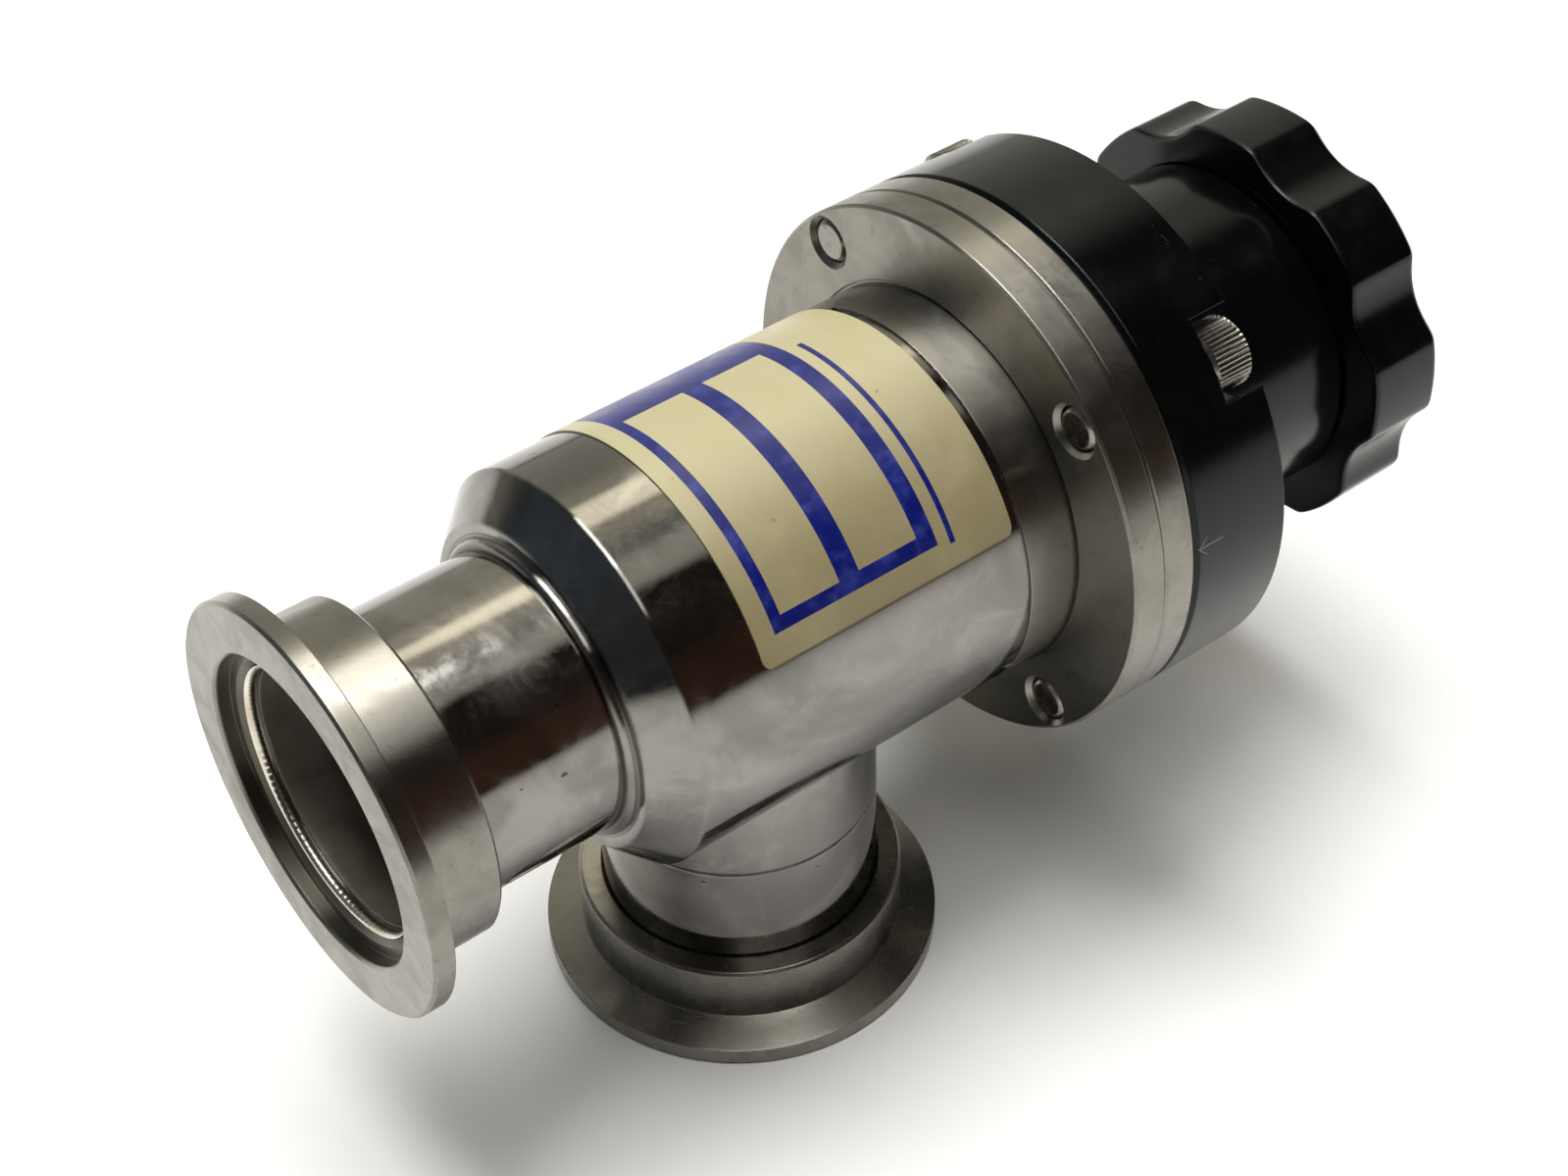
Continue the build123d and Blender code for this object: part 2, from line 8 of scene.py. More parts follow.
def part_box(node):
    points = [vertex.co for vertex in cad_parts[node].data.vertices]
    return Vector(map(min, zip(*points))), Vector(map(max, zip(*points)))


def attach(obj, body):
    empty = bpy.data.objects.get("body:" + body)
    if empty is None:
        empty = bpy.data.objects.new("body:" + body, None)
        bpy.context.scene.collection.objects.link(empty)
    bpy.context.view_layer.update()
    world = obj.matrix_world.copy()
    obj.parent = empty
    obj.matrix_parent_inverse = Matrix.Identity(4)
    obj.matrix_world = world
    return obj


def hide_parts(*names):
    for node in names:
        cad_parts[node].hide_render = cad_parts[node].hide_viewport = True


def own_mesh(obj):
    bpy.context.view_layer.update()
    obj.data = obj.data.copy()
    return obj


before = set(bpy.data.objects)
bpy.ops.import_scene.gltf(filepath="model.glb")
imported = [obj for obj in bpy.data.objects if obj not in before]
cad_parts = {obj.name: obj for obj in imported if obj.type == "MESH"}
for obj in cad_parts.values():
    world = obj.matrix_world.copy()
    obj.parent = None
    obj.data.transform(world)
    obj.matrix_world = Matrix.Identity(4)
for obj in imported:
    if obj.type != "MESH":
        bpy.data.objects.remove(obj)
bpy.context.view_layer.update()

# Places and sizes in metres, read from the frame where it has them
MM = 0.001
plate_low, plate_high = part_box("bonnet_plate")
flange_low, flange_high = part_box("body_flange")
housing_low, housing_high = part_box("bonnet_housing")
body_low, body_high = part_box("valve_body")
inlet_low, inlet_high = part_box("inlet_flange")
outlet_low, outlet_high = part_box("outlet_flange")
label_low, label_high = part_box("label")
screws_low, screws_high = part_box("cap_screws")
bellows_low, bellows_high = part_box("bellows")
axis_z = (plate_low.z + plate_high.z) / 2
axis_centre = Vector((0, 0, axis_z))
body_r = 27.2 * MM
tube_inner_r = 17.4 * MM
port_reach = -inlet_low.x
bonnet_r = plate_high.y


class Graph:
    """One material's nodes. Each method adds a node and gives its output socket."""

    def __init__(self, name, world=None):
        if world is None:
            self.material = bpy.data.materials.new(name)
            self.material.use_nodes = True
            self.tree = self.material.node_tree
        else:
            self.material = None
            self.tree = world.node_tree
        self.tree.nodes.clear()

    def add(self, kind, inputs=None, **settings):
        node = self.tree.nodes.new(kind)
        for key, value in settings.items():
            setattr(node, key, value)
        for key, value in (inputs or {}).items():
            self.put(node.inputs[key], value)
        return node

    def put(self, socket, value):
        if isinstance(value, bpy.types.NodeSocket):
            self.tree.links.new(value, socket)
        else:
            socket.default_value = value

    def math(self, operation, first, second=0.0, third=0.0, clamp=False):
        node = self.add("ShaderNodeMath", {0: first, 1: second, 2: third}, operation=operation, use_clamp=clamp)
        return node.outputs[0]

    def vector_math(self, operation, first, second=(0, 0, 0)):
        node = self.add("ShaderNodeVectorMath", {0: first, 1: second}, operation=operation)
        return node.outputs["Value" if operation in ("DOT_PRODUCT", "LENGTH") else "Vector"]

    def remap(self, value, low, high, to_low=0.0, to_high=1.0, smooth=True):
        node = self.add(
            "ShaderNodeMapRange",
            {"Value": value, "From Min": low, "From Max": high, "To Min": to_low, "To Max": to_high},
            interpolation_type="SMOOTHSTEP" if smooth else "LINEAR",
            clamp=True,
        )
        return node.outputs["Result"]

    def mix(self, factor, first, second, blend="MIX"):
        node = self.add("ShaderNodeMix", data_type="RGBA", blend_type=blend, clamp_factor=True)
        self.put(node.inputs[0], factor)
        self.put(node.inputs[6], first)
        self.put(node.inputs[7], second)
        return node.outputs[2]

    def noise(self, vector, scale, detail=2.0, roughness=0.5, distortion=0.0):
        node = self.add(
            "ShaderNodeTexNoise",
            {"Vector": vector, "Scale": scale, "Detail": detail, "Roughness": roughness, "Distortion": distortion},
        )
        return node.outputs["Fac"]

    def combine(self, x, y, z):
        return self.add("ShaderNodeCombineXYZ", {0: x, 1: y, 2: z}).outputs[0]

    def place(self):
        return self.add("ShaderNodeTexCoord").outputs["Object"]

    def around(self, axis="X", centre=axis_centre):
        """Along, radius and angle about an axis of the valve, in metres and radians."""
        shifted = self.vector_math("SUBTRACT", self.place(), tuple(centre))
        split = self.add("ShaderNodeSeparateXYZ", {0: shifted})
        x, y, z = split.outputs
        along, across, up = (x, y, z) if axis == "X" else (z, x, y)
        square = self.math("ADD", self.math("MULTIPLY", across, across), self.math("MULTIPLY", up, up))
        return along, self.math("SQRT", square), self.math("ARCTAN2", up, across)

    def across_marks(self, axis="X", centre=axis_centre):
        """The direction across turning marks, for stretched highlights."""
        direction = (1.0, 0.0, 0.0) if axis == "X" else (0.0, 0.0, 1.0)
        shifted = self.vector_math("SUBTRACT", self.place(), tuple(centre))
        around = self.vector_math("CROSS_PRODUCT", direction, shifted)
        normal = self.add("ShaderNodeTexCoord").outputs["Normal"]
        across = self.vector_math("CROSS_PRODUCT", normal, around)
        unit = self.vector_math("NORMALIZE", across)
        turn = self.add(
            "ShaderNodeVectorTransform", {0: unit}, vector_type="VECTOR", convert_from="OBJECT", convert_to="WORLD"
        )
        return turn.outputs[0]

    def soft_edge(self, radius_mm):
        """Normals that round off edges, as hand work leaves them."""
        return self.add("ShaderNodeBevel", {"Radius": radius_mm * MM}, samples=6).outputs[0]

    def bump(self, height, strength, distance, normal=None):
        node = self.add("ShaderNodeBump", {"Height": height, "Strength": strength, "Distance": distance})
        if normal is not None:
            self.put(node.inputs["Normal"], normal)
        return node.outputs["Normal"]

    def finish(self, **inputs):
        shader = self.add("ShaderNodeBsdfPrincipled", {key.replace("_", " "): v for key, v in inputs.items()})
        output = self.add("ShaderNodeOutputMaterial", {"Surface": shader.outputs[0]})
        output.is_active_output = True
        return self.material


# Colours
STEEL = (0.26, 0.249, 0.221, 1)
STEEL_DULL = (0.21, 0.20, 0.174, 1)
STEEL_STAIN = (0.13, 0.117, 0.095, 1)
POLISHED = (0.24, 0.231, 0.216, 1)
POLISHED_HAZE = (0.29, 0.279, 0.257, 1)
POLISHED_DEEP = (0.18, 0.171, 0.159, 1)
# Painted dark reflection for the polished nose face
NOSE_DARK_REFLECTION = (0.075, 0.07, 0.058, 1)
# Painted shade for the inside of the port mouths
MOUTH_PAINTED_SHADE = (0.105, 0.097, 0.077, 1)
BORE_DULL = (0.26, 0.245, 0.21, 1)
BORE_STAIN = (0.15, 0.13, 0.10, 1)
BLACK_ANODISED = (0.0009, 0.0012, 0.0013, 1)
BLACK_WORN = (0.003, 0.0036, 0.0038, 1)
BLACK_SHINE = (0.5, 0.53, 0.54, 1)
BARE_METAL = (0.45, 0.44, 0.42, 1)
PAPER = (0.43, 0.39, 0.237, 1)
PAPER_AGED = (0.42, 0.36, 0.18, 1)
INK_BLUE = (0.002, 0.006, 0.12, 1)
RUBBER = (0.012, 0.012, 0.013, 1)
BRONZE = (0.55, 0.38, 0.17, 1)


def turned_steel(name, axis="X", centre=axis_centre, roughness=0.28, mouth=None):
    """Steel with fine turning marks round an axis, as left by a lathe, and faint stains; with a mouth given, painted
    shade darkens the inside of the port opening.
    """
    g = Graph(name)
    along, radius, angle = g.around(axis, centre)
    cut = g.math("ADD", along, g.math("MULTIPLY", radius, 1.31))
    lines = g.noise(g.combine(g.math("MULTIPLY", cut, 6500.0), g.math("MULTIPLY", angle, 0.9), 0.0), 1.0, 4.0, 0.7)
    bands = g.noise(g.combine(g.math("MULTIPLY", cut, 1100.0), g.math("MULTIPLY", angle, 0.5), 3.0), 1.0, 2.0, 0.5)
    patches = g.noise(g.place(), 170.0, 5.0, 0.62, 0.6)
    stains = g.remap(g.noise(g.place(), 620.0, 3.0, 0.55), 0.63, 0.72)
    tone = g.mix(g.remap(patches, 0.35, 0.72), STEEL, STEEL_DULL)
    tone = g.mix(g.math("MULTIPLY", stains, 0.4), tone, STEEL_STAIN)
    line_rough = g.remap(lines, 0.3, 0.7, roughness - 0.025, roughness + 0.025, smooth=False)
    rough = g.math("ADD", line_rough, g.remap(patches, 0.35, 0.75, -0.04, 0.07))
    # Painted shade: inside the port mouth the metal is darkened and roughened.
    if mouth:
        mouth_r, mouth_end = mouth
        inside = g.remap(radius, mouth_r + 0.15 * MM, mouth_r - 0.15 * MM)
        in_mouth = g.math("MULTIPLY", inside, g.math("LESS_THAN", along, mouth_end))
        tone = g.mix(in_mouth, tone, MOUTH_PAINTED_SHADE)
        rough = g.math("ADD", rough, g.math("MULTIPLY", in_mouth, 0.1))
    height = g.math("ADD", g.math("MULTIPLY", lines, 0.6), g.math("MULTIPLY", bands, 0.5))
    return g.finish(
        Base_Color=tone,
        Metallic=1.0,
        Roughness=rough,
        Anisotropic=0.66,
        Tangent=g.across_marks(axis, centre),
        Normal=g.bump(height, 0.12, 0.00002, g.soft_edge(0.25)),
    )


def polished_steel(name, axis="X", centre=axis_centre, bore_r=0.0, nose_x=None):
    """Hand-polished steel with a milky haze of swirl marks, smears, a few nicks, and a dull bore; a nose face, when
    given, gets a painted dark reflection.
    """
    g = Graph(name)
    along, radius, angle = g.around(axis, centre)
    spot = g.place()
    haze = g.noise(spot, 85.0, 7.0, 0.66, 0.9)
    smear = g.noise(spot, 26.0, 3.0, 0.55, 1.6)
    wander = g.math("MULTIPLY", g.noise(spot, 210.0, 4.0), 14.0)
    cells = g.add("ShaderNodeTexVoronoi", {"Vector": spot, "Scale": 130.0}).outputs["Distance"]
    rings = g.math("SINE", g.math("ADD", g.math("MULTIPLY", cells, 46.0), wander))
    rubbed = g.remap(g.noise(spot, 48.0, 3.0, 0.5, 0.8), 0.46, 0.64)
    swirls = g.math("MULTIPLY", g.remap(rings, -0.2, 1.0), rubbed)
    scratch = g.noise(g.vector_math("MULTIPLY", spot, (2400.0, 500.0, 1500.0)), 1.0, 3.0, 0.6, 3.0)
    hazy = g.remap(g.math("ADD", haze, g.math("MULTIPLY", smear, 0.5)), 0.66, 0.92)
    rough = g.remap(hazy, 0.0, 1.0, 0.055, 0.17, smooth=False)
    rough = g.math("ADD", rough, g.math("MULTIPLY", swirls, 0.03))
    rough = g.math("ADD", rough, g.remap(scratch, 0.5, 0.8, 0.0, 0.08))
    tone = g.mix(g.remap(smear, 0.35, 0.6), POLISHED_DEEP, POLISHED)
    tone = g.mix(hazy, tone, POLISHED_HAZE)
    tone = g.mix(g.math("MULTIPLY", swirls, 0.14), tone, POLISHED_HAZE)
    nicks = g.remap(g.noise(g.vector_math("MULTIPLY", spot, (1.0, 1.0, 2.2)), 300.0, 1.0, 0.4), 0.79, 0.82)
    tone = g.mix(g.math("MULTIPLY", nicks, 0.8), tone, (0.05, 0.045, 0.04, 1))
    metallic = 1.0
    # Painted dark reflection: the nose face is darkened to stand in for the dark room it mirrors.
    if nose_x is not None:
        on_nose = g.remap(along, nose_x + 0.3 * MM, nose_x + 0.1 * MM)
        tone = g.mix(g.math("MULTIPLY", on_nose, 0.85), tone, NOSE_DARK_REFLECTION)
    if bore_r:
        in_bore = g.remap(radius, bore_r + 0.9 * MM, bore_r + 0.4 * MM)
        stain = g.noise(spot, 70.0, 4.0, 0.6)
        turning = g.noise(g.combine(g.math("MULTIPLY", along, 900.0), g.math("MULTIPLY", angle, 1.5), radius), 1.0, 4.0)
        tone = g.mix(in_bore, tone, g.mix(g.remap(stain, 0.35, 0.7), BORE_DULL, BORE_STAIN))
        dull = g.remap(turning, 0.3, 0.7, 0.34, 0.48)
        rough = g.math("ADD", rough, g.math("MULTIPLY", in_bore, g.math("SUBTRACT", dull, rough)))
        metallic = g.math("SUBTRACT", 1.0, g.math("MULTIPLY", in_bore, 0.55))
    ripple = g.noise(spot, 80.0, 2.0, 0.5)
    height = g.math("ADD", g.math("MULTIPLY", ripple, 1.0), g.math("MULTIPLY", g.noise(spot, 420.0, 3.0), 0.09))
    height = g.math("SUBTRACT", height, g.math("MULTIPLY", nicks, 0.5))
    height = g.math("ADD", height, g.math("MULTIPLY", scratch, 0.02))
    return g.finish(
        Base_Color=tone, Metallic=metallic, Roughness=rough, Normal=g.bump(height, 0.4, 0.00011, g.soft_edge(0.8))
    )


def arrow_scratch(g, along, angle):
    """A small arrow scratched by hand on the housing's rim: a stroke and two barbs."""
    across = g.math("MULTIPLY", g.math("SUBTRACT", angle, math.radians(171)), bonnet_r)
    forward = g.math("SUBTRACT", along, 45.9 * MM)
    mark = 0.0
    for slope, length in ((0.0, 4.2 * MM), (0.9, 1.5 * MM), (-0.9, 1.5 * MM)):
        off_line = g.math("ABSOLUTE", g.math("SUBTRACT", across, g.math("MULTIPLY", forward, slope)))
        on_line = g.remap(off_line, 0.14 * MM, 0.05 * MM)
        started = g.math("GREATER_THAN", forward, 0.0)
        ended = g.math("LESS_THAN", forward, length)
        mark = g.math("MAXIMUM", mark, g.math("MULTIPLY", on_line, g.math("MULTIPLY", started, ended)))
    return mark


def black_anodised(name, axis="X", centre=axis_centre):
    """Glossy black anodised aluminium with faint turning marks and a few pale scuffs."""
    g = Graph(name)
    along, radius, angle = g.around(axis, centre)
    cut = g.math("ADD", along, g.math("MULTIPLY", radius, 1.31))
    lines = g.noise(g.combine(g.math("MULTIPLY", cut, 5200.0), g.math("MULTIPLY", angle, 0.8), 0.0), 1.0, 4.0, 0.6)
    haze = g.noise(g.place(), 120.0, 4.0, 0.6, 0.5)
    flecks = g.remap(g.noise(g.place(), 760.0, 2.0, 0.45), 0.80, 0.82)
    scuff_line = g.noise(g.vector_math("MULTIPLY", g.place(), (2600.0, 320.0, 900.0)), 1.0, 2.0, 0.5, 2.0)
    scuffs = g.math("MULTIPLY", g.remap(scuff_line, 0.74, 0.78), g.remap(g.noise(g.place(), 90.0, 2.0), 0.55, 0.66))
    tone = g.mix(g.remap(haze, 0.45, 0.8), BLACK_ANODISED, BLACK_WORN)
    tone = g.mix(flecks, tone, (0.05, 0.05, 0.048, 1))
    tone = g.mix(g.math("MULTIPLY", scuffs, 0.3), tone, BARE_METAL)
    tone = g.mix(g.math("MULTIPLY", arrow_scratch(g, along, angle), 0.35), tone, BARE_METAL)
    rough = g.math("ADD", g.remap(lines, 0.3, 0.7, 0.13, 0.18), g.remap(haze, 0.45, 0.8, 0.0, 0.07))
    return g.finish(
        Base_Color=tone,
        Metallic=0.0,
        Roughness=rough,
        IOR=1.5,
        Specular_Tint=BLACK_SHINE,
        Normal=g.bump(lines, 0.08, 0.00002, g.soft_edge(0.3)),
    )


def black_knob(name):
    """Black knob with a soft shine, wiped by hands."""
    g = Graph(name)
    spot = g.place()
    dust = g.noise(spot, 220.0, 5.0, 0.6)
    wipe = g.noise(spot, 60.0, 3.0, 0.5, 0.8)
    flecks = g.remap(g.noise(spot, 800.0, 2.0, 0.45), 0.79, 0.81)
    tone = g.mix(g.remap(dust, 0.45, 0.8), BLACK_ANODISED, BLACK_WORN)
    tone = g.mix(flecks, tone, (0.05, 0.05, 0.048, 1))
    rough = g.math("ADD", g.remap(wipe, 0.35, 0.7, 0.14, 0.23), g.remap(dust, 0.45, 0.8, 0.0, 0.05))
    return g.finish(
        Base_Color=tone,
        Metallic=0.0,
        Roughness=rough,
        IOR=1.5,
        Specular_Tint=BLACK_SHINE,
        Normal=g.bump(dust, 0.1, 0.00002, g.soft_edge(0.3)),
    )


def screw_steel(name):
    """Bright screw steel with a little dark dirt in its hollows."""
    g = Graph(name)
    dirt = g.noise(g.place(), 700.0, 3.0, 0.6)
    tone = g.mix(g.remap(dirt, 0.45, 0.8), (0.27, 0.26, 0.232, 1), (0.15, 0.14, 0.118, 1))
    rough = g.remap(dirt, 0.3, 0.8, 0.2, 0.38)
    return g.finish(Base_Color=tone, Metallic=1.0, Roughness=rough, Normal=g.bump(dirt, 0.15, 0.00003))


def weld_steel(name):
    """Weld bead, bright with a straw tint."""
    g = Graph(name)
    heat = g.noise(g.place(), 180.0, 3.0, 0.5)
    tone = g.mix(g.remap(heat, 0.4, 0.7), (0.70, 0.67, 0.60, 1), (0.55, 0.49, 0.40, 1))
    return g.finish(Base_Color=tone, Metallic=1.0, Roughness=g.remap(heat, 0.3, 0.7, 0.18, 0.3))


def bronze(name):
    """Bearing bronze with turning marks."""
    g = Graph(name)
    along, radius, angle = g.around()
    lines = g.noise(g.combine(g.math("MULTIPLY", along, 1800.0), g.math("MULTIPLY", radius, 1800.0), angle), 1.0, 3.0)
    tone = g.mix(lines, BRONZE, (0.42, 0.27, 0.11, 1))
    return g.finish(Base_Color=tone, Metallic=1.0, Roughness=g.remap(lines, 0.3, 0.7, 0.25, 0.4))


def rubber(name):
    """Black seal rubber."""
    g = Graph(name)
    grain = g.noise(g.place(), 1500.0, 3.0, 0.6)
    tone = g.mix(grain, RUBBER, (0.03, 0.03, 0.03, 1))
    return g.finish(Base_Color=tone, Roughness=g.remap(grain, 0.3, 0.7, 0.45, 0.6), Normal=g.bump(grain, 0.2, 0.00003))


def paper(name):
    """Aged cream label stock under a clear film, with small stains, painted shade towards its lower side and a painted
    shadow line along its lower edge.
    """
    g = Graph(name)
    spot = g.place()
    age = g.noise(spot, 90.0, 4.0, 0.6)
    fibre = g.noise(g.vector_math("MULTIPLY", spot, (900.0, 2600.0, 2600.0)), 1.0, 4.0, 0.6)
    specks = g.remap(g.noise(spot, 520.0, 2.0, 0.5), 0.74, 0.78)
    tone = g.mix(g.remap(age, 0.42, 0.8), PAPER, PAPER_AGED)
    tone = g.mix(g.math("MULTIPLY", g.remap(fibre, 0.45, 0.8), 0.22), tone, PAPER_AGED)
    tone = g.mix(g.math("MULTIPLY", specks, 0.75), tone, (0.2, 0.15, 0.09, 1))
    along, radius, angle = g.around()
    # Painted shade: the label darkens towards its lower side, mottled a little by the age noise.
    painted_lower_shade = g.math("MULTIPLY", g.remap(angle, math.radians(92), math.radians(140)), g.remap(age, 0.2, 0.6, 0.6, 1.0))
    tone = g.mix(g.math("MULTIPLY", painted_lower_shade, 0.75), tone, (0.19, 0.155, 0.078, 1))
    # Painted shadow: a thin dark line along the label's lower edge.
    painted_edge_shadow = g.remap(angle, math.radians(155.0), math.radians(155.9))
    tone = g.mix(g.math("MULTIPLY", painted_edge_shadow, 0.8), tone, (0.04, 0.028, 0.016, 1))
    return g.finish(
        Base_Color=tone, Roughness=g.remap(age, 0.3, 0.7, 0.3, 0.42), Normal=g.bump(fibre, 0.1, 0.00003)
    )


def ink(name):
    """Blue print under the same film."""
    g = Graph(name)
    spot = g.place()
    wear = g.noise(spot, 300.0, 4.0, 0.6)
    tone = g.mix(g.remap(wear, 0.45, 0.85), INK_BLUE, (0.03, 0.045, 0.26, 1))
    return g.finish(Base_Color=tone, Roughness=g.remap(wear, 0.3, 0.7, 0.26, 0.36))


def floor_paint(name):
    """Pale matt floor with a barely seen mottle."""
    g = Graph(name)
    mottle = g.noise(g.place(), 3.0, 3.0)
    tone = g.mix(mottle, (0.88, 0.88, 0.88, 1), (0.90, 0.90, 0.90, 1))
    return g.finish(Base_Color=tone, Roughness=0.9)


outlet_centre = Vector((0, 0, 0))
mouth_r = 20.7 * MM
mouth_depth = 4.0 * MM
plain_steel = turned_steel("turned_steel")
inlet_steel = turned_steel("inlet_steel", mouth=(mouth_r, inlet_low.x + mouth_depth))
face_steel = turned_steel("flange_steel", roughness=0.33)
outlet_steel = turned_steel("outlet_steel", "Z", outlet_centre, mouth=(mouth_r, mouth_depth))
mirror_steel = polished_steel("polished_steel", nose_x=body_low.x)
inlet_tube_steel = polished_steel("inlet_tube_steel", "X", axis_centre, tube_inner_r)
outlet_tube_steel = polished_steel("outlet_tube_steel", "Z", outlet_centre, tube_inner_r)
housing_black = black_anodised("housing_black")
knob_black = black_knob("knob_black")
bright_screw = screw_steel("screw_steel")
weld_metal = weld_steel("weld_steel")
bearing = bronze("bearing_bronze")
seal = rubber("seal_rubber")
label_paper = paper("label_paper")
label_ink = ink("label_ink")

NODE_FINISH = {
    "inlet_flange": inlet_steel,
    "inlet_tube": inlet_tube_steel,
    "outlet_flange": outlet_steel,
    "outlet_tube": outlet_tube_steel,
    "valve_body": mirror_steel,
    "body_flange": face_steel,
    "bonnet_plate": plain_steel,
    "bonnet_seal": seal,
    "stem_bush": bearing,
    "bonnet_housing": housing_black,
    "cap_screws": bright_screw,
    "bellows": plain_steel,
    "poppet": plain_steel,
    "poppet_seal": seal,
    "stem": plain_steel,
    "drive_nut": bearing,
    "guide_pin": bright_screw,
    "drive_spindle": bright_screw,
    "front_thrust_washer": bearing,
    "rear_thrust_washer": bearing,
    "retaining_ring": housing_black,
    "knob": knob_black,
    "knob_washer": bright_screw,
    "knob_screw": bright_screw,
    "label": label_paper,
}
for node_name, finish in NODE_FINISH.items():
    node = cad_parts[node_name]
    node.data.materials.clear()
    node.data.materials.append(finish)


def new_piece(name, mesh_builder, materials, body, sharp_deg=32.0):
    """A smooth-shaded object from a bmesh, riding on a body of the valve."""
    mesh = bpy.data.meshes.new(name)
    mesh_builder.to_mesh(mesh)
    mesh_builder.free()
    for material in materials:
        mesh.materials.append(material)
    mesh.polygons.foreach_set("use_smooth", [True] * len(mesh.polygons))
    mesh.set_sharp_from_angle(angle=math.radians(sharp_deg))
    piece = bpy.data.objects.new(name, mesh)
    bpy.context.scene.collection.objects.link(piece)
    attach(piece, body)
    return piece


def add_lathe(builder, profile, steps, to_place, closed=False, shift=None, material=0):
    """Turns (along, radius) points about the local X axis into quads; to_place maps local to the row frame."""
    rings = []
    for index, (along, radius) in enumerate(profile):
        ring = []
        for step in range(steps):
            angle = 2 * math.pi * step / steps
            extra = shift(index, angle) if shift else 0.0
            reach = radius + extra
            ring.append(builder.verts.new(to_place @ Vector((along, reach * math.cos(angle), reach * math.sin(angle)))))
        rings.append(ring)
    pairs = list(zip(rings, rings[1:]))
    if closed:
        pairs.append((rings[-1], rings[0]))
    for near, far in pairs:
        for step in range(steps):
            after = (step + 1) % steps
            face = builder.faces.new((near[step], near[after], far[after], far[step]))
            face.material_index = material
    return rings


def main_place(offset_y=0.0, offset_z=0.0):
    """Local X along the main axis of the valve."""
    return Matrix.Translation((0, offset_y, axis_z + offset_z))


def inlet_place():
    """Local X points out of the inlet port, from the crossing of the axes."""
    return Matrix.Translation((0, 0, axis_z)) @ Matrix.Rotation(math.pi, 4, "Z")


def outlet_place():
    """Local X points out of the outlet port, from the crossing of the axes."""
    return Matrix.Translation((0, 0, axis_z)) @ Matrix.Rotation(math.pi / 2, 4, "Y")


# Label: a wrapped sheet whose cells take paper or ink
label_x = (-13.2 * MM, 25.8 * MM)
label_deg = (36.0, 156.2)
frame_x = (-10.4 * MM, 14.8 * MM)
frame_deg = (43.0, 148.0)
near_window = ((-8.8 * MM, 0.2 * MM), (72.0, 144.1))
far_window = ((3.25 * MM, 12.25 * MM), (72.0, 143.8))
rule_x = (16.55 * MM, 17.35 * MM)
rule_deg = (76.4, 149.4)
label_corner = 1.8 * MM
label_lift = 0.2 * MM


def inside(value, limits):
    return limits[0] <= value <= limits[1]


def is_ink(x, degrees):
    """Whether the label is printed blue at a place."""
    windows = any(inside(x, window[0]) and inside(degrees, window[1]) for window in (near_window, far_window))
    in_frame = inside(x, frame_x) and inside(degrees, frame_deg) and not windows
    return in_frame or (inside(x, rule_x) and inside(degrees, rule_deg))


def split_evenly(marks, most):
    """The marks in order, with points between them no further apart than most."""
    marks = sorted(set(marks))
    points = [marks[0]]
    for low, high in zip(marks, marks[1:]):
        count = max(1, math.ceil((high - low) / most))
        points += [low + (high - low) * (index + 1) / count for index in range(count)]
    return points


def corner_inset(degrees):
    """How far the label's ends are drawn in at its rounded corners."""
    to_edge = min(degrees - label_deg[0], label_deg[1] - degrees)
    arc = math.radians(to_edge) * body_r
    if arc >= label_corner:
        return 0.0
    rise = label_corner - arc
    return label_corner - math.sqrt(max(label_corner**2 - rise**2, 0.0))


def make_label():
    builder = bmesh.new()
    x_marks = [*label_x, *frame_x, *near_window[0], *far_window[0], *rule_x]
    deg_marks = [*label_deg, *frame_deg, *near_window[1], *far_window[1], *rule_deg]
    corner_deg = math.degrees(label_corner / body_r)
    for share in (0.03, 0.12, 0.27, 0.5, 0.75, 1.0):
        deg_marks += [label_deg[0] + corner_deg * share, label_deg[1] - corner_deg * share]
    columns = split_evenly(x_marks, 2.0 * MM)
    rows = split_evenly(deg_marks, 1.5)
    reach = body_r + label_lift
    grid = []
    for degrees in rows:
        inset = corner_inset(degrees)
        line = []
        for x in columns:
            held = min(max(x, label_x[0] + inset), label_x[1] - inset)
            angle = math.radians(degrees)
            line.append(builder.verts.new((held, reach * math.cos(angle), axis_z + reach * math.sin(angle))))
        grid.append(line)
    for row in range(len(rows) - 1):
        middle_deg = (rows[row] + rows[row + 1]) / 2
        for column in range(len(columns) - 1):
            middle_x = (columns[column] + columns[column + 1]) / 2
            corners = (grid[row][column], grid[row][column + 1], grid[row + 1][column + 1], grid[row + 1][column])
            face = builder.faces.new(corners)
            face.material_index = 1 if is_ink(middle_x, middle_deg) else 0
    bmesh.ops.remove_doubles(builder, verts=builder.verts, dist=1e-7)
    rim = [edge for edge in builder.edges if edge.is_boundary]
    skirt = bmesh.ops.extrude_edge_only(builder, edges=rim)
    for element in skirt["geom"]:
        if isinstance(element, bmesh.types.BMVert):
            from_axis = Vector((0, element.co.y, element.co.z - axis_z))
            from_axis.normalize()
            element.co -= from_axis * label_lift
    bmesh.ops.recalc_face_normals(builder, faces=builder.faces)
    piece = new_piece("label_sheet", builder, [label_paper, label_ink], "valve")
    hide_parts("label")
    return piece


make_label()


# Weld beads inside both ports, with the ripples of the torch
bead_along = port_reach - 3.5 * MM
bead_r = 17.75 * MM
bead_size = 0.85 * MM
bead_ripples = 118
bead_points = 7


